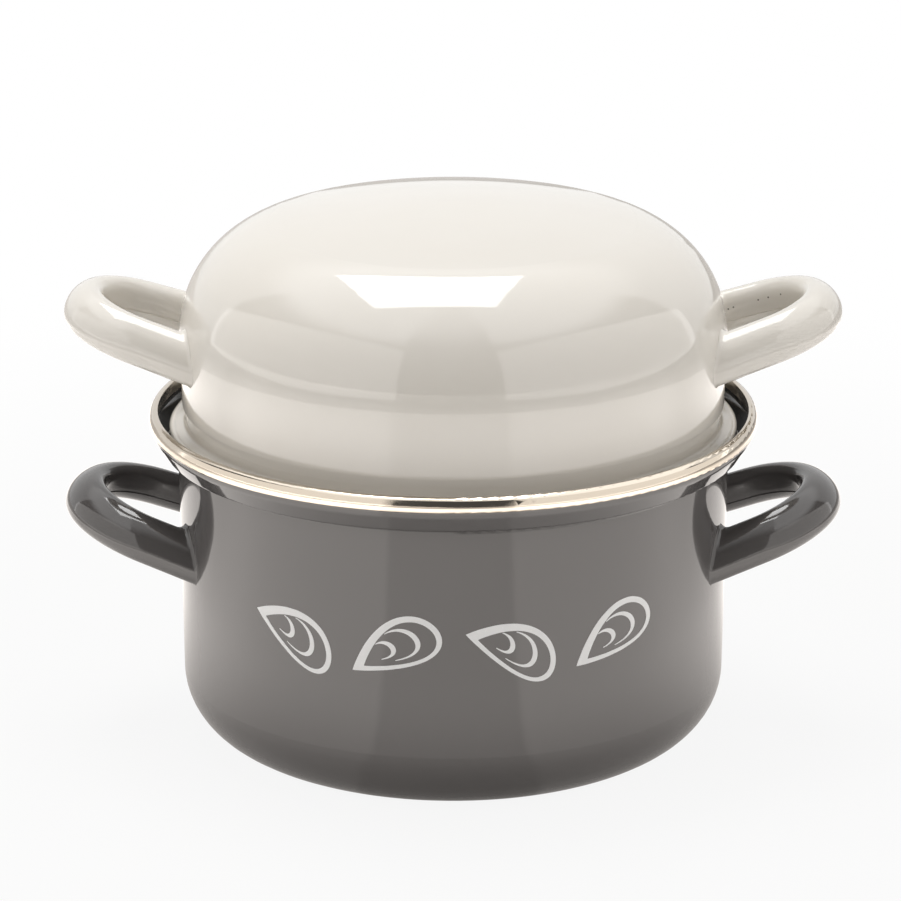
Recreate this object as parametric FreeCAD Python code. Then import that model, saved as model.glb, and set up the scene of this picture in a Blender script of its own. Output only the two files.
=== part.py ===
"""Mussel pot: an enamelled steel pot with a steel rim band, and a domed enamelled lid that
doubles as a bowl for the shells. Both carry two rolled sheet-steel loop handles.

Units are millimetres, +Z is up. The origin is on the surface that the pot stands on, on the
pot's axis. The handles point along +X and -X. Each function makes one piece.
"""

import FreeCAD, Part
import math
import os

from FreeCAD import Vector

# Pot body: one deep-drawn sheet, sizes of its outer face
sheet = 1.2
wall_radius = 96.2
wall_draft = 0.8
base_corner_radius = 23.3
base_ring_width = 11.1
base_recess_depth = 1.2
base_recess_slope = 3.0
base_recess_bend = 2.5
ledge_height = 104.5
ledge_width = 4.6
ledge_bend = 2.2
mouth_height = 13.07
mouth_flare = 4.25
flare_bend = 3.2

# Rim band: a folded steel strip with a bowed face, pressed over the edge of the sheet
band_width = 3.1
band_height = 4.94
band_shoulder_rise = 1.9
band_shoulder_width = 1.23
band_face_bend = 4.4
band_top_bend = 1.75
band_inner_edge_radius = 0.3
band_low_edge_radius = 0.8
band_slot_clearance = 0.05
band_fold = 1.9

# Lid: one drawn sheet, sizes of its outer face, heights from its seat on the pot's ledge
lid_sheet = 1.2
lid_side_clearance = 0.6
lid_lip_height = 7.9
lid_lip_bend = 1.25
lid_bead_width = 2.4
lid_bead_rise = 1.3
lid_bead_bend = 1.2
lid_flange_width = 6.05
lid_flange_fall = 0.7
lid_foot_bend = 1.6
lid_step_width = 0.6
lid_step_rise = 4.0
lid_knee_rise = 3.4
lid_knee_bend = 3.0
lid_wall_inset = 1.2
lid_wall_height = 38.355
lid_wall_taper = 1.5
lid_shoulder_radius = 40.05
lid_crown_radius = 290.8

# Loop handles: rolled tube of oval section, bent to a U and welded to the wall
handle_sheet = 1.0
seam_width = 0.9
seam_start = 3.5
weld_radius = 2.6
weld_sink = 0.5

pot_handle = {
    "drop": 30.9,
    "reach": 35.1,
    "tip_radius": 29.4,
    "leg_angle": 8.7,
    "tilt": 20.1,
    "lean": 28.5,
    "section_height": 16.4,
    "section_width": 10.4,
}
lid_handle = {
    "drop": 1.155,
    "reach": 34.6,
    "tip_radius": 24.7,
    "leg_angle": 10.4,
    "tilt": 18.6,
    "lean": 21.1,
    "section_height": 16.4,
    "section_width": 11.5,
}

# Sizes that follow from those above
seat_height = ledge_height + sheet
rim_height = ledge_height + mouth_height
ledge_radius = wall_radius + ledge_width
mouth_radius = ledge_radius + mouth_flare
band_radius = mouth_radius - sheet / 2 + band_width / 2
lid_radius = ledge_radius - sheet - lid_side_clearance
lid_wall_radius = wall_radius - lid_wall_inset
shoulder_height = seat_height + lid_wall_height

axis = Vector(0, 0, 1)
origin = Vector(0, 0, 0)


def at(r, z):
    return Vector(r, 0, z)


def rounded_path(corners):
    """Lines through (r, z, bend radius) corners in the XZ plane, joined by tangent arcs."""
    edges = []
    last = at(*corners[0][:2])
    for before, corner, after in zip(corners, corners[1:], corners[2:]):
        point = at(*corner[:2])
        back = (at(*before[:2]) - point).normalize()
        ahead = (at(*after[:2]) - point).normalize()
        half_turn = (math.pi - back.getAngle(ahead)) / 2
        run = corner[2] * math.tan(half_turn)
        start = point + back * run
        end = point + ahead * run
        middle = point + (back + ahead).normalize() * corner[2] * (1 / math.cos(half_turn) - 1)
        edges.append(Part.LineSegment(last, start).toShape())
        edges.append(Part.Arc(start, middle, end).toShape())
        last = end
    edges.append(Part.LineSegment(last, at(*corners[-1][:2])).toShape())
    return edges


def revolve(face):
    return face.revolve(origin, axis, 360)


def inside(profile):
    """The solid inside a profile that starts on the axis, closed level at its far end.

    Arcs go in as splines: on a narrow lid the shoulder's arc would sweep a torus that
    crosses the axis, and a cut with such a torus fails.
    """
    start = profile.OrderedVertexes[0].Point
    end = profile.OrderedVertexes[-1].Point
    edges = [Part.LineSegment(end, at(0, end.z)).toShape(), Part.LineSegment(at(0, end.z), start).toShape()]
    for edge in profile.OrderedEdges:
        is_arc = isinstance(edge.Curve, Part.Circle)
        edges.append(edge.toNurbs().Edges[0] if is_arc else edge)
    return revolve(Part.Face(Part.Wire(Part.__sortEdges__(edges))))


def pressed_sheet(profile, inset):
    """A pressed sheet whose other face is a profile moved by its inset, to the left of the run."""
    return revolve(profile.makeOffset2D(inset, 0, True, True, False))


def pot_profile():
    low_radius = wall_radius - wall_draft
    recess_edge = low_radius - base_corner_radius - base_ring_width
    flare_top = rim_height - band_height - flare_bend / 2
    return Part.Wire(rounded_path([
        (0, base_recess_depth, 0),
        (recess_edge - base_recess_slope, base_recess_depth, base_recess_bend),
        (recess_edge, 0, base_recess_bend),
        (low_radius, 0, base_corner_radius),
        (wall_radius, ledge_height, ledge_bend),
        (ledge_radius, ledge_height, ledge_bend),
        (mouth_radius, flare_top, flare_bend),
        (mouth_radius, rim_height - band_fold, 0),
    ]))


def lid_profile():
    taper = math.radians(lid_wall_taper)
    shoulder_offset = lid_wall_radius - lid_shoulder_radius
    between = lid_crown_radius - lid_shoulder_radius
    crown_centre = shoulder_height - math.sqrt(between**2 - shoulder_offset**2)
    join = math.asin(shoulder_offset / between)
    wall_top_angle = math.pi / 2 + taper

    def on_crown(angle):
        return at(lid_crown_radius * math.sin(angle), crown_centre + lid_crown_radius * math.cos(angle))

    def on_shoulder(angle):
        return at(
            shoulder_offset + lid_shoulder_radius * math.sin(angle),
            shoulder_height + lid_shoulder_radius * math.cos(angle),
        )

    crown = Part.Arc(on_crown(0), on_crown(join / 2), on_crown(join)).toShape()
    middle = on_shoulder((join + wall_top_angle) / 2)
    shoulder = Part.Arc(on_shoulder(join), middle, on_shoulder(wall_top_angle)).toShape()
    wall_top = on_shoulder(wall_top_angle)
    lip_top = seat_height + lid_lip_height
    bead_height = lip_top - lid_bead_rise
    foot_radius = lid_radius - lid_flange_width
    foot_height = bead_height + lid_flange_fall
    step_height = foot_height + lid_step_rise
    knee_height = step_height + lid_knee_rise
    knee_radius = wall_top.x - (wall_top.z - knee_height) * math.tan(taper)
    return Part.Wire([crown, shoulder] + rounded_path([
        (wall_top.x, wall_top.z, 0),
        (knee_radius, knee_height, lid_knee_bend),
        (foot_radius + lid_step_width, step_height, lid_knee_bend),
        (foot_radius, foot_height, lid_foot_bend),
        (lid_radius - lid_bead_width, bead_height, lid_bead_bend),
        (lid_radius, lip_top, lid_lip_bend),
        (lid_radius, seat_height, 0),
    ]))


def pot_body():
    return pressed_sheet(pot_profile(), sheet)


def lid_bowl():
    return pressed_sheet(lid_profile(), -lid_sheet)


def rim_band():
    low = rim_height - band_height
    inner = band_radius - band_width
    ring = revolve(Part.Face(Part.Wire(rounded_path([
        (inner, low + band_height / 2, 0),
        (inner, rim_height, band_inner_edge_radius),
        (band_radius - band_shoulder_width, rim_height, band_top_bend),
        (band_radius, rim_height - band_shoulder_rise, band_face_bend),
        (band_radius, low, band_low_edge_radius),
        (inner, low, band_low_edge_radius),
        (inner, low + band_height / 2, 0),
    ]))))
    middle = band_radius - band_width / 2
    slot_half = sheet / 2 + band_slot_clearance
    slot_height = band_height - band_fold
    outer = Part.makeCylinder(middle + slot_half, slot_height, at(0, low))
    slot = outer.cut(Part.makeCylinder(middle - slot_half, slot_height, at(0, low)))
    return ring.cut(slot)


def oval(spec, inset):
    """The tube's leaning oval at the loop's tip, in the loop's own frame, X away from the wall."""
    lean = math.radians(spec["lean"])
    centre = Vector(spec["reach"], 0, 0)
    tall = Vector(-math.sin(lean), 0, math.cos(lean)) * (spec["section_height"] / 2 - inset)
    wide = Vector(math.cos(lean), 0, math.sin(lean)) * (spec["section_width"] / 2 - inset)
    return Part.Ellipse(centre + tall, centre + wide, centre)


def seam(spec):
    """The round groove between the rolled sheet's two edges, on the side of the fingers."""
    lean = math.radians(spec["lean"])
    half = spec["section_width"] / 2
    spot = Vector(spec["reach"] - half * math.cos(lean), 0, -half * math.sin(lean))
    return Part.Circle(spot, Vector(0, 1, 0), seam_width / 2)


def bend(outline, spec, pivot_spot):
    """An outline swept round the loop, a bent tip and two straight legs, set up at the wall."""
    section = Part.Face(Part.Wire(outline.toShape()))
    pivot = Vector(spec["reach"] - spec["tip_radius"], 0, 0)
    half_sweep = 90 - spec["leg_angle"]
    angle = math.radians(spec["leg_angle"])
    tip = section.rotated(pivot, axis, -half_sweep).revolve(pivot, axis, 2 * half_sweep)
    legs = []
    for side in (1, -1):
        run = Vector(-math.cos(angle), side * math.sin(angle), 0) * spec["reach"]
        legs.append(section.rotated(pivot, axis, side * half_sweep).extrude(run))
    loop = tip.fuse(legs).rotated(origin, Vector(0, 1, 0), -spec["tilt"])
    return loop.translated(pivot_spot)


def weld(loop, core):
    """A loop joined to a core, with the corners between its legs and the core rounded."""
    joined = core.fuse(loop)
    feet = []
    for edge in joined.Edges:
        if edge.Degenerated:
            continue
        points = [Part.Vertex(point) for point in edge.discretize(5)]
        on_core = all(point.distToShape(core.Shells[0])[0] < 1e-4 for point in points)
        on_loop = all(point.distToShape(loop.Shells[0])[0] < 1e-4 for point in points)
        if on_core and on_loop:
            feet.append(edge)
    return joined.makeFillet(weld_radius, feet)


def handle(spec, profile, inset, spot):
    """A hollow loop, welded at both feet to the wall of a profile, for the right-hand side."""
    core = inside(profile.makeOffset2D(inset, 0, False, True, False))
    loop = weld(bend(oval(spec, 0), spec, spot), core)
    hollow = bend(oval(spec, handle_sheet), spec, spot)
    clear = Part.makeCylinder(spot.x + seam_start, 2 * spec["reach"], at(0, spot.z - spec["reach"]))
    groove = bend(seam(spec), spec, spot)
    return loop.cut(hollow).cut(groove.cut(clear)).cut(inside(profile))


def other_side(shape):
    return shape.mirror(origin, Vector(1, 0, 0))


def main():
    os.makedirs("parts", exist_ok=True)
    pot_spot = at(wall_radius, ledge_height - pot_handle["drop"])
    lid_spot = at(lid_wall_radius, shoulder_height - lid_handle["drop"])
    pot_loop = handle(pot_handle, pot_profile(), weld_sink, pot_spot)
    lid_loop = handle(lid_handle, lid_profile(), -weld_sink, lid_spot)
    pieces = {
        "pot_body": pot_body(),
        "rim_band": rim_band(),
        "pot_handle_left": other_side(pot_loop),
        "pot_handle_right": pot_loop,
        "lid_bowl": lid_bowl(),
        "lid_handle_left": other_side(lid_loop),
        "lid_handle_right": lid_loop,
    }
    for name, shape in pieces.items():
        shape.exportStep("parts/" + name + ".step")
        box = shape.BoundBox
        print(name, shape.isValid(), len(shape.Solids), round(shape.Volume), box)


main()
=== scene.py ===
"""Looks of the mussel pot: vitreous enamel, a polished steel rim band, a printed row of shells
and the studio round them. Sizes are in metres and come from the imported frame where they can.
"""

import math

import bmesh
import bpy
from bpy.props import FloatProperty, FloatVectorProperty, IntProperty, PointerProperty
from bpy.types import Operator, Panel, PropertyGroup
from mathutils import Euler, Matrix, Vector
from mathutils.bvhtree import BVHTree


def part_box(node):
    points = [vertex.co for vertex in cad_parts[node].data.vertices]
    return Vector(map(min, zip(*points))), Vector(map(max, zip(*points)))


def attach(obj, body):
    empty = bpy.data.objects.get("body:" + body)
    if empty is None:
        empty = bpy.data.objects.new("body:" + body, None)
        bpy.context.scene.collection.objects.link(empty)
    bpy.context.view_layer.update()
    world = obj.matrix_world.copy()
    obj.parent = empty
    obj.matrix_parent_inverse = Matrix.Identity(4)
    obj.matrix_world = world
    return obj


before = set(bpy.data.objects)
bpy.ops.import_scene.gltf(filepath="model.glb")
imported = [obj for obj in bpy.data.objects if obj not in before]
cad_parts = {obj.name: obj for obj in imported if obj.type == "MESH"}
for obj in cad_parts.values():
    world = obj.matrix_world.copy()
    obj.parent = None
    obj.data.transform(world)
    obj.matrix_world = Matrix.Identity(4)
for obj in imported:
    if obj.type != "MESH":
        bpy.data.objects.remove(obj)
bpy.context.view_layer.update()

bl_info = {
    "name": "Mussel Pot Finish",
    "version": (1, 0, 0),
    "blender": (4, 5, 0),
    "location": "3D View > Sidebar > Mussel Pot",
    "description": "Enamel, steel and print for a mussel pot, and a studio to show it in",
    "category": "Object",
}

MM = 0.001

# The photograph's camera, solved from the pot's own outline
IMAGE_SIZE = 901
CAMERA_DISTANCE = 1.336
CAMERA_ELEVATION = math.radians(18.27)
CAMERA_AIM_HEIGHT = 0.090
FOCAL_PIXELS = 3801.5
AIM_COLUMN = 453.2
AIM_ROW = 478.15
SENSOR_WIDTH = 36.0

# Glazes: clouds of colour, and a waviness of broad flow marks and fine orange peel
GLAZE_ROUGHNESS = 0.06
GLAZE_IOR = 1.55
GLAZE_RIPPLE = 0.35
HANDLE_ROUGHNESS = 0.07
HANDLE_RIPPLE = 0.5
POT_CLOUD = 60 * MM
HANDLE_CLOUD = 25 * MM
LID_CLOUD = 45 * MM
POT_THIN_GLAZE = 0.94
HANDLE_THIN_GLAZE = 0.9
FLOW_SIZE = 34 * MM
PEEL_SIZE = 2.2 * MM
PEEL_SHARE = 0.05
RIPPLE_DEPTH = 0.12 * MM

# Polished steel: fine lines that are stretched along the band, and smears that dull it
LINE_WIDTH = 0.35 * MM
LINE_TURN = 4 * MM
LINE_DEPTH = 0.02 * MM
LINE_STRENGTH = 0.10
SMEAR_SIZE = 5 * MM
SMEAR_RANGE = (0.35, 0.7)
STEEL_ROUGHNESS = (0.07, 0.17)

# Pinholes along the seam of the right-hand lid handle, as (column, row) in the photograph
PINHOLE_PIXELS = (
    (728.3, 309.1),
    (733.4, 307.2),
    (758.2, 299.9),
    (768.2, 297.3),
    (780.6, 294.3),
)
PINHOLE_RADIUS = 0.32 * MM
PINHOLE_FLATTENING = 0.25
OXIDE_COLOURS = ("4E4B47", "716C64")
OXIDE_GRAIN = 0.3 * MM
OXIDE_ROUGHNESS = 0.6

# The printed shells: the rim's inner edge is set off by so many strokes, and the growth lines
# are drawn at these shares of the shell's size
RIM_SHORTER = 3.3
RIM_NARROWER = 2.1
RIM_POINT = 2.3
SHELL_POINT_SHARPNESS = 0.9
GROWTH_SHARES = (0.62, 0.36)
GROWTH_START = 0.16
GROWTH_MIDDLE = 0.45
SHELL_BOW = 0.12
SHELL_STEPS = 96
GROWTH_STEPS = 32
INK_RISE = 0.09 * MM
INK_SINK = -0.06 * MM
INK_GRAIN = 0.8 * MM
INK_ROUGHNESS = (0.18, 0.32)
INK_IOR = 1.5

# The softbox above the pot, and the two white boards beside the camera
TOP_PLACE = (-0.095, 0.225, 1.12)
TOP_SIZE = (0.60, 0.75)
BOARD_TURN = math.radians(50)
BOARD_DISTANCE = 1.0
BOARD_HEIGHT = 0.98
BOARD_LENGTH = 3.0
BOARD_INNER_EDGES = {-1: 0.528, 1: 0.57}
BOARD_COLOUR = "FFFCF9"

# The dark gap between the boards that the camera looks through, and how far round they reach
GAP_MIDDLE = math.radians(-1.0)
GAP_HALF = math.radians(22.0)
BOARDS_HALF = math.radians(116.0)
GAP_EDGE = math.radians(1.5)
GAP_SHADE = 0.22

# The table: its matt colour, and from where to where the camera sees it turn plain white
TABLE_COLOUR = "D8D8D7"
WHITE_FROM, WHITE_TO = 0.2, 0.6

# The table in the glaze's reflections, a painted pool of light with a painted contact shadow near
# the pot and painted
# shade behind it: smooth steps as (from, to, first, last), in metres from the pot's axis, and
# POOL_BEHIND in metres behind it
POOL_COLOUR = "FFF9F4"
POOL_NEAR = (0.06, 0.21, 0.12, 1.0)
POOL_RING_RISE = (0.415, 0.455, 0.0, 1.0)
POOL_RING_FALL = (0.455, 0.54, 0.5, 0.0)
POOL_FAR = (0.42, 0.80, 1.0, 0.40)
POOL_BEHIND = (-0.05, 0.10, 1.0, 0.68)
POOL_SLOPE = (-0.2, -0.15, 0.0)
POOL_LEAST = 0.3

# The walls in the reflections: smooth steps in degrees above the horizon
AMBIENT_COLOUR = "FFFDFA"
WALLS = (35, 50, 1.0, 1.8)
WALLS_ABOVE_BOARDS = (38, 52, 0.05, 1.8)
WALLS_IN_GAP = (40, 75, 0.1, 1.3)


def hex_linear(code):
    """A linear RGBA colour from an sRGB hex code."""
    channels = []
    for start in (0, 2, 4):
        value = int(code[start:start + 2], 16) / 255
        channels.append(value / 12.92 if value <= 0.04045 else ((value + 0.055) / 1.055) ** 2.4)
    return (*channels, 1.0)


def add_node(tree, kind, settings=None, inputs=None, outputs=None):
    """Adds a node with its settings. Inputs are values or the sockets that feed them."""
    node = tree.nodes.new(kind)
    for name, value in (settings or {}).items():
        setattr(node, name, value)
    for name, value in (inputs or {}).items():
        if isinstance(value, bpy.types.NodeSocket):
            tree.links.new(value, node.inputs[name])
        else:
            node.inputs[name].default_value = value
    for name, target in (outputs or {}).items():
        tree.links.new(node.outputs[name], target)
    return node


def new_material(name):
    """An empty node material: its tree, the output's surface socket and the geometry's sockets."""
    material = bpy.data.materials.new(name)
    material.use_nodes = True
    tree = material.node_tree
    tree.nodes.clear()
    output = add_node(tree, "ShaderNodeOutputMaterial")
    geometry = add_node(tree, "ShaderNodeNewGeometry")
    return material, tree, output.inputs["Surface"], geometry.outputs


def math_node(tree, operation, *values):
    """The output of a Math node that works on values or sockets."""
    node = add_node(tree, "ShaderNodeMath", {"operation": operation}, dict(enumerate(values)))
    return node.outputs[0]


def vector_node(tree, operation, *values):
    """The outputs of a Vector Math node that works on vectors or sockets."""
    node = add_node(tree, "ShaderNodeVectorMath", {"operation": operation}, dict(enumerate(values)))
    return node.outputs


def noise(tree, place, size, detail=2.0):
    """The output of a noise whose patches are about size across."""
    inputs = {"Vector": place, "Scale": 1 / size, "Detail": detail}
    return add_node(tree, "ShaderNodeTexNoise", None, inputs).outputs["Fac"]


def mixed_colour(tree, share, first, second):
    """A colour between two, each of them a socket or an RGBA value."""
    node = add_node(tree, "ShaderNodeMix", {"data_type": "RGBA"}, {
        "Factor": share,
        "A": first,
        "B": second,
    })
    return node.outputs["Result"]


def mixed_value(tree, share, first, second):
    """A value between two, each of them a socket or a number."""
    node = add_node(tree, "ShaderNodeMix", {"data_type": "FLOAT"}, {0: share, 2: first, 3: second})
    return node.outputs[0]


def mixed_shader(tree, share, first, second, outputs=None):
    """The output of a node that mixes two shaders."""
    inputs = {0: share, 1: first.outputs[0], 2: second.outputs[0]}
    return add_node(tree, "ShaderNodeMixShader", None, inputs, outputs)


def ranged(tree, value, source, target, interpolation="LINEAR"):
    """A value carried over from its source range to a target range, and held at its ends."""
    node = add_node(tree, "ShaderNodeMapRange", {"interpolation_type": interpolation}, {
        "Value": value,
        "From Min": source[0],
        "From Max": source[1],
        "To Min": target[0],
        "To Max": target[1],
    })
    return node.outputs["Result"]


def eased(tree, value, low, high, first, last):
    """A smooth step from first to last while value goes from low to high."""
    return ranged(tree, value, (low, high), (first, last), "SMOOTHSTEP")


def thinner(colour, share):
    """A glaze colour darkened to a share, where the coat is thin."""
    return (*[channel * share for channel in colour], 1.0)


def glazed(tree, surface, place, colour, roughness, ripple):
    """A glossy fired glaze. Its slight waviness bends the edges of its reflections."""
    flow = noise(tree, place, FLOW_SIZE, 1.0)
    peel = noise(tree, place, PEEL_SIZE)
    bump = add_node(tree, "ShaderNodeBump", None, {
        "Height": math_node(tree, "MULTIPLY_ADD", peel, PEEL_SHARE, flow),
        "Strength": ripple,
        "Distance": RIPPLE_DEPTH,
    })
    add_node(tree, "ShaderNodeBsdfPrincipled", None, {
        "Base Color": colour,
        "Roughness": roughness,
        "IOR": GLAZE_IOR,
        "Normal": bump.outputs["Normal"],
    }, {"BSDF": surface})


def grey_vitreous_enamel(colours):
    """Steel sheet, dipped and fired: warm grey glass outside, near-black glass inside.

    The eye gets a deep even colour under a clear, almost mirror-smooth skin.
    """
    material, tree, surface, geometry = new_material("grey_vitreous_enamel")
    place = geometry["Position"]
    flat = vector_node(tree, "MULTIPLY", place, (1.0, 1.0, 0.0))
    radial = vector_node(tree, "NORMALIZE", flat[0])
    inward = vector_node(tree, "SUBTRACT", (0.0, 0.0, 1.0), radial[0])
    facing = vector_node(tree, "DOT_PRODUCT", geometry["True Normal"], inward[0])
    inside = math_node(tree, "GREATER_THAN", facing["Value"], 0.0)
    cloud = noise(tree, place, POT_CLOUD)
    outer = mixed_colour(tree, cloud, (*colours.pot, 1.0), thinner(colours.pot, POT_THIN_GLAZE))
    colour = mixed_colour(tree, inside, outer, (*colours.pot_inside, 1.0))
    glazed(tree, surface, place, colour, GLAZE_ROUGHNESS, GLAZE_RIPPLE)
    return material


def grey_enamel_for_handles(colours):
    """The same grey glass on the pot's rolled handles, all round."""
    material, tree, surface, geometry = new_material("grey_enamel_on_handles")
    place = geometry["Position"]
    cloud = noise(tree, place, HANDLE_CLOUD)
    colour = mixed_colour(tree, cloud, (*colours.pot, 1.0), thinner(colours.pot, HANDLE_THIN_GLAZE))
    glazed(tree, surface, place, colour, HANDLE_ROUGHNESS, HANDLE_RIPPLE)
    return material


def cream_vitreous_enamel(colours):
    """Steel sheet under a thick opaque glaze: warm white, glossy, a shade warmer where it pools."""
    material, tree, surface, geometry = new_material("cream_vitreous_enamel")
    place = geometry["Position"]
    cloud = noise(tree, place, LID_CLOUD)
    colour = mixed_colour(tree, cloud, (*colours.lid, 1.0), (*colours.lid_pooled, 1.0))
    glazed(tree, surface, place, colour, GLAZE_ROUGHNESS, GLAZE_RIPPLE)
    return material


def polished_stainless(colours):
    """Stainless strip, rolled and polished: a bright mirror with faint lines along its run."""
    material, tree, surface, geometry = new_material("polished_stainless_steel")
    split = add_node(tree, "ShaderNodeSeparateXYZ", None, {"Vector": geometry["Position"]}).outputs
    turn = math_node(tree, "ARCTAN2", split["Y"], split["X"])
    unrolled = add_node(tree, "ShaderNodeCombineXYZ", None, {
        "X": math_node(tree, "MULTIPLY", turn, LINE_TURN),
        "Z": split["Z"],
    })
    smear = noise(tree, geometry["Position"], SMEAR_SIZE, 3.0)
    bump = add_node(tree, "ShaderNodeBump", None, {
        "Height": noise(tree, unrolled.outputs[0], LINE_WIDTH, 3.0),
        "Strength": LINE_STRENGTH,
        "Distance": LINE_DEPTH,
    })
    add_node(tree, "ShaderNodeBsdfPrincipled", None, {
        "Base Color": (*colours.steel, 1.0),
        "Metallic": 1.0,
        "Roughness": ranged(tree, smear, SMEAR_RANGE, STEEL_ROUGHNESS),
        "Normal": bump.outputs["Normal"],
    }, {"BSDF": surface})
    return material


def fired_print(colours):
    """Pale ceramic ink, screen printed and fired on: a little less glossy than the glaze."""
    material, tree, surface, geometry = new_material("pale_fired_ceramic_print")
    grain = noise(tree, geometry["Position"], INK_GRAIN)
    add_node(tree, "ShaderNodeBsdfPrincipled", None, {
        "Base Color": (*colours.print_ink, 1.0),
        "Roughness": ranged(tree, grain, (0.0, 1.0), INK_ROUGHNESS),
        "IOR": INK_IOR,
    }, {"BSDF": surface})
    return material


def bare_iron_oxide():
    """Iron oxide at the bottom of a pinhole in the glaze: a dull dark speck."""
    material, tree, surface, geometry = new_material("iron_oxide_in_pinhole")
    crust = noise(tree, geometry["Position"], OXIDE_GRAIN)
    add_node(tree, "ShaderNodeBsdfPrincipled", None, {
        "Base Color": mixed_colour(tree, crust, *map(hex_linear, OXIDE_COLOURS)),
        "Roughness": OXIDE_ROUGHNESS,
    }, {"BSDF": surface})
    return material


def rising(tree, height, low, high, first, last):
    """A smooth step from first to last between two angles above the horizon, in degrees."""
    low, high = (math.sin(math.radians(angle)) for angle in (low, high))
    return eased(tree, height, low, high, first, last)


def ray_kinds(tree):
    """Two sockets: 1 for rays the camera sees, mirrored ones too, and 1 for mirrored rays alone."""
    path = add_node(tree, "ShaderNodeLightPath").outputs
    mirrored = math_node(tree, "MAXIMUM", path["Is Glossy Ray"], path["Is Transmission Ray"])
    return math_node(tree, "MAXIMUM", path["Is Camera Ray"], mirrored), mirrored


def in_front(tree, across, ahead, half_angle):
    """1 within half_angle of the camera's side of the pot, and 0 beyond it."""
    turn = math_node(tree, "ARCTAN2", across, math_node(tree, "MULTIPLY", ahead, -1.0))
    beside = math_node(tree, "ABSOLUTE", math_node(tree, "SUBTRACT", turn, GAP_MIDDLE))
    return eased(tree, beside, half_angle - GAP_EDGE, half_angle + GAP_EDGE, 1.0, 0.0)


def lit_pool(tree, place, distance, stage):
    """The table's radiance in the glaze's reflections: a painted pool of light, not lit by the
    lamps.

    It is darkest under the pot, a painted contact shadow, has a brighter ring that the lid's wall
    sees, and fades outwards. Painted shade dims it behind the pot and in the gap the camera looks
    through.
    """
    # Painted contact shadow: the pool is dim under the pot and brightens outwards.
    near = eased(tree, distance, *POOL_NEAR)
    rise = eased(tree, distance, *POOL_RING_RISE)
    fall = eased(tree, distance, *POOL_RING_FALL)
    ring = math_node(tree, "MULTIPLY_ADD", rise, fall, 1.0)
    far = math_node(tree, "MULTIPLY", ring, eased(tree, distance, *POOL_FAR))
    split = add_node(tree, "ShaderNodeSeparateXYZ", None, {"Vector": place}).outputs
    # Painted shade behind the pot, and below it painted shade in the gap the camera looks through.
    behind = eased(tree, split["Y"], *POOL_BEHIND)
    gap = in_front(tree, split["X"], split["Y"], GAP_HALF)
    shaded = math_node(tree, "SUBTRACT", 1.0, math_node(tree, "MULTIPLY", gap, GAP_SHADE))
    # A painted slope of light, brighter towards the front left.
    slope = vector_node(tree, "DOT_PRODUCT", place, POOL_SLOPE)["Value"]
    sloped_light = math_node(tree, "ADD", slope, 1.0)
    pool = near
    for factor in (far, behind, shaded, sloped_light, stage.floor_pool):
        pool = math_node(tree, "MULTIPLY", pool, factor)
    return math_node(tree, "MAXIMUM", pool, POOL_LEAST)


def matt_white_table(stage):
    """A matt sweep: white with a soft shadow to the camera, and a bright pool in the glaze."""
    material, tree, surface, geometry = new_material("matt_white_table")
    seen, mirrored = ray_kinds(tree)
    distance = vector_node(tree, "LENGTH", geometry["Position"])["Value"]
    matt = add_node(tree, "ShaderNodeBsdfDiffuse", None, {"Color": hex_linear(TABLE_COLOUR)})
    white = add_node(tree, "ShaderNodeEmission", None, {"Strength": 1.0})
    lit = add_node(tree, "ShaderNodeEmission", None, {
        "Color": hex_linear(POOL_COLOUR),
        "Strength": lit_pool(tree, geometry["Position"], distance, stage),
    })
    plain_white = eased(tree, distance, WHITE_FROM, WHITE_TO, stage.floor_white, 1.0)
    share = math_node(tree, "MULTIPLY", seen, plain_white)
    plain = mixed_shader(tree, share, matt, white)
    mixed_shader(tree, mirrored, plain, lit, {0: surface})
    return material


def white_studio_world(stage):
    """Pale walls that brighten upwards, dark behind the boards and in the gap between them.

    The camera looks in through that gap. Only mirrored rays see this; the rest get even light.
    """
    world = bpy.data.worlds.new("white_studio")
    world.use_nodes = True
    tree = world.node_tree
    tree.nodes.clear()
    seen, mirrored = ray_kinds(tree)
    direction = add_node(tree, "ShaderNodeTexCoord").outputs["Generated"]
    split = add_node(tree, "ShaderNodeSeparateXYZ", None, {"Vector": direction}).outputs
    gap = in_front(tree, split["X"], split["Y"], GAP_HALF)
    boards = in_front(tree, split["X"], split["Y"], BOARDS_HALF)
    walls = rising(tree, split["Z"], *WALLS)
    above = rising(tree, split["Z"], *WALLS_ABOVE_BOARDS)
    opening = rising(tree, split["Z"], *WALLS_IN_GAP)
    mirror = mixed_value(tree, gap, mixed_value(tree, boards, walls, above), opening)
    bright = add_node(tree, "ShaderNodeBackground", None, {
        "Color": (1.0, 1.0, 1.0, 1.0),
        "Strength": mixed_value(tree, mirrored, 1.0, mirror),
    })
    ambient = add_node(tree, "ShaderNodeBackground", None, {
        "Color": hex_linear(AMBIENT_COLOUR),
        "Strength": stage.ambient,
    })
    output = add_node(tree, "ShaderNodeOutputWorld")
    mixed_shader(tree, seen, ambient, bright, {0: output.inputs["Surface"]})
    return world


def paint(node_name, material):
    """Gives a carried-over node its finish."""
    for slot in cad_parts[node_name].material_slots:
        slot.material = material


def surface_of(node_name):
    """A search tree over a carried-over node's surface, for seating pieces on it."""
    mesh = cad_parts[node_name].data
    corners = [vertex.co for vertex in mesh.vertices]
    return BVHTree.FromPolygons(corners, [face.vertices for face in mesh.polygons])


def finished_object(name, shape, material):
    """Turns a shape into a piece of the object that rides on the pot."""
    mesh = bpy.data.meshes.new(name)
    shape.to_mesh(mesh)
    shape.free()
    mesh.materials.append(material)
    piece = bpy.data.objects.new(name, mesh)
    bpy.context.scene.collection.objects.link(piece)
    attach(piece, "root")


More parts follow.
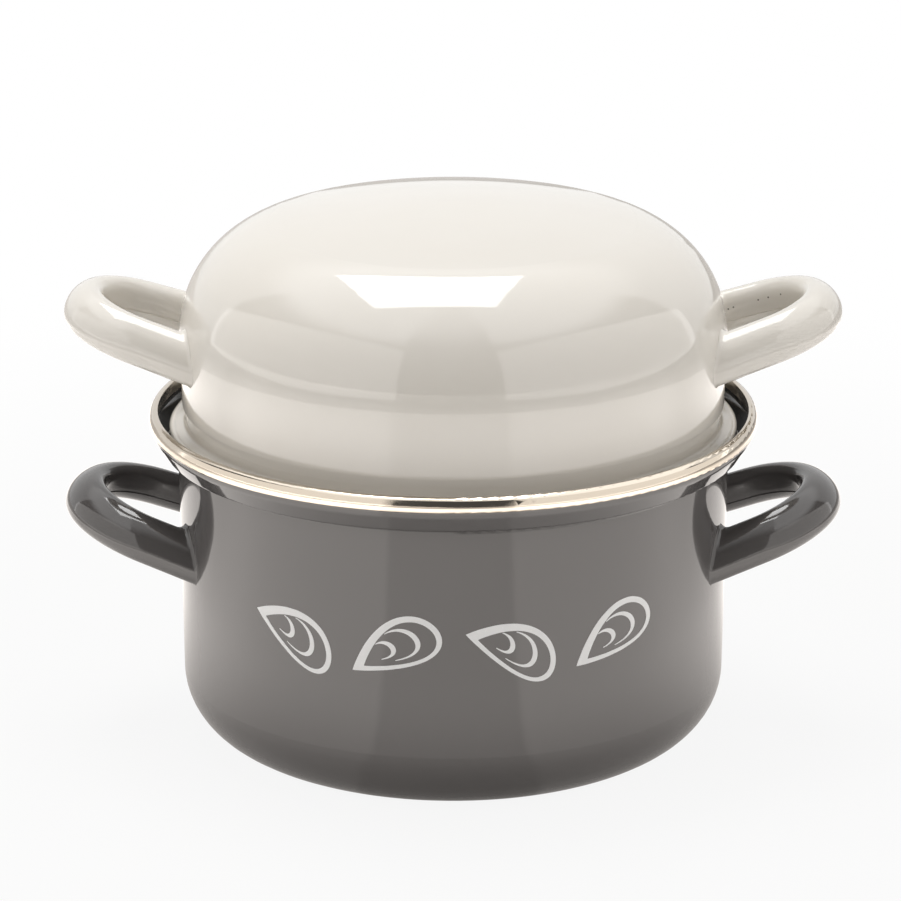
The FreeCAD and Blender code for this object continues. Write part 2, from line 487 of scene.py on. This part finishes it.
def drop(length, width, point_at, turn):
    """A point on a mussel shell's rim, drawn flat: a drop that starts at point_at, with a bow."""
    along = length / 2 * (1 - math.cos(turn))
    across = width / 2 * math.sin(turn) * math.sin(turn / 2) ** SHELL_POINT_SHARPNESS
    bow = SHELL_BOW * width * (1 - (2 * along / length - 1) ** 2)
    return Vector((point_at + along, across + bow))


def shell_rim(length, width, stroke):
    """The rim of a shell, as pairs of points on its outer and inner edges."""
    pairs = []
    inner_length = length - RIM_SHORTER * stroke
    inner_width = width - RIM_NARROWER * stroke
    for step in range(SHELL_STEPS):
        turn = 2 * math.pi * step / SHELL_STEPS
        outer = drop(length, width, 0, turn)
        inner = drop(inner_length, inner_width, RIM_POINT * stroke, turn)
        pairs.append((outer, inner))
    return pairs


def growth_line(length, width, stroke, share):
    """A growth line, drawn as a crescent round the shell's far end that thins out at both tips."""
    pairs = []
    start = GROWTH_START * length
    lift = Vector((0, SHELL_BOW * width * (1 - share)))
    middle = Vector((start + length * share * GROWTH_MIDDLE, 0)) + lift
    for step in range(GROWTH_STEPS + 1):
        turn = math.pi * (0.50 + 1.0 * step / GROWTH_STEPS)
        thickness = stroke * (0.12 + 0.80 * math.sin(math.pi * step / GROWTH_STEPS))
        outer = drop(length * share, width * share, start, turn) + lift
        inner = outer + (middle - outer).normalized() * thickness
        pairs.append((outer, inner))
    return pairs


def print_strip(mesh, edges, closed, place):
    """A thin closed strip on the wall between two edges, as a film of fired ink."""
    rings = []
    for left, right in edges:
        corners = (
            (left, INK_SINK),
            (left, INK_RISE),
            ((left + right) / 2, INK_RISE),
            (right, INK_RISE),
            (right, INK_SINK),
        )
        rings.append([mesh.verts.new(place(point, rise)) for point, rise in corners])
    pairs = list(zip(rings, rings[1:]))
    if closed:
        pairs.append((rings[-1], rings[0]))
    for near, far in pairs:
        for corner in range(len(near)):
            follow = (corner + 1) % len(near)
            mesh.faces.new((near[corner], near[follow], far[follow], far[corner]))
    if not closed:
        mesh.faces.new(rings[0][::-1])
        mesh.faces.new(rings[-1])


class MusselPotColours(PropertyGroup):
    pot: FloatVectorProperty(
        name="Pot",
        description="Colour of the glaze outside the pot",
        subtype="COLOR",
        size=3,
        default=hex_linear("595655")[:3],
    )
    pot_inside: FloatVectorProperty(
        name="Pot inside",
        description="Colour of the glaze inside the pot",
        subtype="COLOR",
        size=3,
        default=hex_linear("19191B")[:3],
    )
    lid: FloatVectorProperty(
        name="Lid",
        description="Colour of the glaze on the lid",
        subtype="COLOR",
        size=3,
        default=hex_linear("E5E1DA")[:3],
    )
    lid_pooled: FloatVectorProperty(
        name="Lid, pooled glaze",
        description="Colour of the lid where its glaze runs thick",
        subtype="COLOR",
        size=3,
        default=hex_linear("E1DCD3")[:3],
    )
    steel: FloatVectorProperty(
        name="Rim steel",
        description="Tint of the polished steel",
        subtype="COLOR",
        size=3,
        default=hex_linear("C8BEB0")[:3],
    )
    print_ink: FloatVectorProperty(
        name="Print",
        description="Colour of the fired print",
        subtype="COLOR",
        size=3,
        default=hex_linear("EDEDED")[:3],
    )


class MusselPotPrint(PropertyGroup):
    count: IntProperty(
        name="Shells",
        description="Number of shells in the printed row",
        default=4,
        min=1,
    )
    length: FloatProperty(
        name="Shell length",
        description="Length of one printed shell",
        default=0.036,
        unit="LENGTH",
    )
    width: FloatProperty(
        name="Shell width",
        description="Width of one printed shell",
        default=0.0225,
        unit="LENGTH",
    )
    pitch: FloatProperty(
        name="Pitch",
        description="Distance between shells, measured round the wall",
        default=0.042,
        unit="LENGTH",
    )
    stroke: FloatProperty(
        name="Line width",
        description="Width of the printed line",
        default=0.0021,
        unit="LENGTH",
    )
    height: FloatProperty(
        name="Height",
        description="Height of the row's centre above the table",
        default=0.060,
        unit="LENGTH",
    )
    slant: FloatProperty(
        name="Slant",
        description="Tilt of each shell, turned the other way on every second one",
        default=math.radians(24),
        subtype="ANGLE",
    )


class MusselPotStage(PropertyGroup):
    table_reach: FloatProperty(
        name="Table reach",
        description="How far the table runs from the pot to each side",
        default=4.0,
        unit="LENGTH",
    )
    floor_white: FloatProperty(
        name="Floor white",
        description="Share of plain white in what the camera sees of the table near the pot",
        default=0.90,
        subtype="FACTOR",
    )
    floor_pool: FloatProperty(
        name="Floor pool",
        description="Brightness of the lit table in the glaze's reflections",
        default=2.5,
    )
    ambient: FloatProperty(
        name="Ambient",
        description="Strength of the light that comes from all sides",
        default=0.09,
    )
    top_light: FloatProperty(
        name="Top light",
        description="Radiance of the softbox above the pot",
        default=6.6,
    )
    board_light: FloatProperty(
        name="Boards",
        description="Radiance of the two white boards beside the camera",
        default=1.3,
    )


class MUSSELPOT_OT_pot(Operator):
    """Glazes the pot and its handles"""
    bl_idname = "mussel_pot.pot"
    bl_label = "Glaze Pot"

    def execute(self, context):
        colours = context.scene.mussel_pot_colours
        paint("pot_body", grey_vitreous_enamel(colours))
        handle_glaze = grey_enamel_for_handles(colours)
        for side in ("left", "right"):
            paint("pot_handle_" + side, handle_glaze)
        return {"FINISHED"}


class MUSSELPOT_OT_lid(Operator):
    """Glazes the lid and its handles"""
    bl_idname = "mussel_pot.lid"
    bl_label = "Glaze Lid"

    def execute(self, context):
        glaze = cream_vitreous_enamel(context.scene.mussel_pot_colours)
        for node in ("lid_bowl", "lid_handle_left", "lid_handle_right"):
            paint(node, glaze)
        return {"FINISHED"}


class MUSSELPOT_OT_rim_band(Operator):
    """Polishes the steel rim band"""
    bl_idname = "mussel_pot.rim_band"
    bl_label = "Polish Rim Band"

    def execute(self, context):
        paint("rim_band", polished_stainless(context.scene.mussel_pot_colours))
        return {"FINISHED"}


class MUSSELPOT_OT_print(Operator):
    """Prints a row of shells round the front of the pot"""
    bl_idname = "mussel_pot.print"
    bl_label = "Print Shells"

    def execute(self, context):
        settings = context.scene.mussel_pot_print
        wall = surface_of("pot_body")
        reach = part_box("pot_body")[1][0]

        def place(point, rise):
            turn = point.x / reach
            outward = Vector((math.sin(turn), -math.cos(turn), 0))
            start = outward * 2 * reach + Vector((0, 0, point.y))
            hit = wall.ray_cast(start, -outward)[0]
            if hit is None:
                raise RuntimeError("the print misses the pot's wall")
            return hit + outward * rise

        size = (settings.length, settings.width, settings.stroke)
        middle = Vector((settings.length / 2, 0))
        lines = [(shell_rim(*size), True)]
        lines += [(growth_line(*size, share), False) for share in GROWTH_SHARES]
        shape = bmesh.new()
        for index in range(settings.count):
            offset = (index - (settings.count - 1) / 2) * settings.pitch
            centre = Vector((offset, settings.height))
            turned = Matrix.Rotation(settings.slant * (1 if index % 2 else -1), 2)
            for line, closed in lines:
                placed = [[centre + turned @ (point - middle) for point in pair] for pair in line]
                print_strip(shape, placed, closed, place)
        bmesh.ops.recalc_face_normals(shape, faces=shape.faces)
        ink = fired_print(context.scene.mussel_pot_colours)
        finished_object("printed_shells", shape, ink)
        return {"FINISHED"}


class MUSSELPOT_OT_pinholes(Operator):
    """Puts the pinholes of the glaze in the seam of the right-hand lid handle"""
    bl_idname = "mussel_pot.pinholes"
    bl_label = "Add Pinholes"

    def execute(self, context):
        skin = surface_of("lid_handle_right")
        eye, turn = camera_place()
        flat = Matrix.Diagonal((1.0, 1.0, PINHOLE_FLATTENING, 1.0))
        shape = bmesh.new()
        for column, row in PINHOLE_PIXELS:
            across, up = (column - AIM_COLUMN) / FOCAL_PIXELS, (AIM_ROW - row) / FOCAL_PIXELS
            ray = turn @ Vector((across, up, -1))
            hit, normal = skin.ray_cast(eye, ray.normalized())[:2]
            if hit is None:
                raise RuntimeError("a pinhole misses the handle")
            facing = normal.to_track_quat("Z", "Y").to_matrix().to_4x4()
            bmesh.ops.create_icosphere(
                shape,
                subdivisions=2,
                radius=PINHOLE_RADIUS,
                matrix=Matrix.Translation(hit) @ facing @ flat,
            )
        finished_object("glaze_pinholes", shape, bare_iron_oxide())
        return {"FINISHED"}


def camera_place():
    """Where the photograph's camera stands, and how it is turned."""
    back = CAMERA_DISTANCE * math.cos(CAMERA_ELEVATION)
    rise = CAMERA_DISTANCE * math.sin(CAMERA_ELEVATION)
    place = Vector((0, -back, CAMERA_AIM_HEIGHT + rise))
    return place, Euler((math.pi / 2 - CAMERA_ELEVATION, 0, 0)).to_matrix()


def photograph_camera():
    """The photograph's camera, whose picture is cropped off its own centre."""
    place, turn = camera_place()
    lens = bpy.data.cameras.new("photograph_camera")
    lens.sensor_width = SENSOR_WIDTH
    lens.lens = FOCAL_PIXELS / IMAGE_SIZE * SENSOR_WIDTH
    lens.shift_x = (IMAGE_SIZE / 2 - AIM_COLUMN) / IMAGE_SIZE
    lens.shift_y = (AIM_ROW - IMAGE_SIZE / 2) / IMAGE_SIZE
    camera = bpy.data.objects.new("photograph_camera", lens)
    camera.location = place
    camera.rotation_euler = turn.to_euler()
    bpy.context.scene.collection.objects.link(camera)
    return camera


def soft_light(name, place, target, size, radiance, colour="FFFFFF"):
    """Adds a rectangular soft light of even radiance that points at a target."""
    lamp = bpy.data.lights.new(name, "AREA")
    lamp.shape = "RECTANGLE"
    lamp.size, lamp.size_y = size
    lamp.energy = radiance * math.pi * size[0] * size[1]
    lamp.color = hex_linear(colour)[:3]
    holder = bpy.data.objects.new(name, lamp)
    holder.location = place
    holder.rotation_euler = (Vector(target) - Vector(place)).to_track_quat("-Z", "Y").to_euler()
    holder.visible_camera = False
    bpy.context.scene.collection.objects.link(holder)


class MUSSELPOT_OT_stage(Operator):
    """Sets up the table, the lights and the camera"""
    bl_idname = "mussel_pot.stage"
    bl_label = "Set Up Studio"

    def execute(self, context):
        scene = context.scene
        stage = scene.mussel_pot_stage
        far = stage.table_reach
        corners = [(-far, -far, 0), (far, -far, 0), (far, far, 0), (-far, far, 0)]
        table = bpy.data.meshes.new("table")
        table.from_pydata(corners, [], [(0, 1, 2, 3)])
        table.materials.append(matt_white_table(stage))
        floor = bpy.data.objects.new("table", table)
        scene.collection.objects.link(floor)
        under_top = (TOP_PLACE[0], TOP_PLACE[1], 0)
        soft_light("top_softbox", TOP_PLACE, under_top, TOP_SIZE, stage.top_light)
        size = (BOARD_LENGTH, BOARD_HEIGHT)
        for side, inner in BOARD_INNER_EDGES.items():
            facing = Vector((side * math.sin(BOARD_TURN), -math.cos(BOARD_TURN), 0))
            along = Vector((side * math.cos(BOARD_TURN), math.sin(BOARD_TURN), 0))
            centre = facing * BOARD_DISTANCE + along * (BOARD_LENGTH / 2 - inner)
            centre.z = BOARD_HEIGHT / 2
            target = centre - facing
            soft_light("white_board", centre, target, size, stage.board_light, BOARD_COLOUR)
        scene.camera = photograph_camera()
        scene.world = white_studio_world(stage)
        scene.view_settings.view_transform = "Standard"
        return {"FINISHED"}


class MUSSELPOT_PT_sidebar(Panel):
    """Lists the pot's settings and its steps"""
    bl_idname = "MUSSELPOT_PT_sidebar"
    bl_label = "Mussel Pot"
    bl_space_type = "VIEW_3D"
    bl_region_type = "UI"
    bl_category = "Mussel Pot"

    def draw(self, context):
        column = self.layout.column()
        for name, group in SETTINGS.items():
            for setting in group.__annotations__:
                column.prop(getattr(context.scene, name), setting)
        for step in STEPS:
            column.operator(step.bl_idname)


SETTINGS = {
    "mussel_pot_colours": MusselPotColours,
    "mussel_pot_print": MusselPotPrint,
    "mussel_pot_stage": MusselPotStage,
}
STEPS = (
    MUSSELPOT_OT_pot,
    MUSSELPOT_OT_lid,
    MUSSELPOT_OT_rim_band,
    MUSSELPOT_OT_print,
    MUSSELPOT_OT_pinholes,
    MUSSELPOT_OT_stage,
)


def register():
    for name, group in SETTINGS.items():
        bpy.utils.register_class(group)
        setattr(bpy.types.Scene, name, PointerProperty(type=group))
    for item in (*STEPS, MUSSELPOT_PT_sidebar):
        bpy.utils.register_class(item)


def unregister():
    for item in (MUSSELPOT_PT_sidebar, *reversed(STEPS)):
        bpy.utils.unregister_class(item)
    for name, group in SETTINGS.items():
        delattr(bpy.types.Scene, name)
        bpy.utils.unregister_class(group)


def main():
    register()
    for step in STEPS:
        group, name = step.bl_idname.split(".")
        getattr(getattr(bpy.ops, group), name)()


if __name__ == "__main__":
    main()
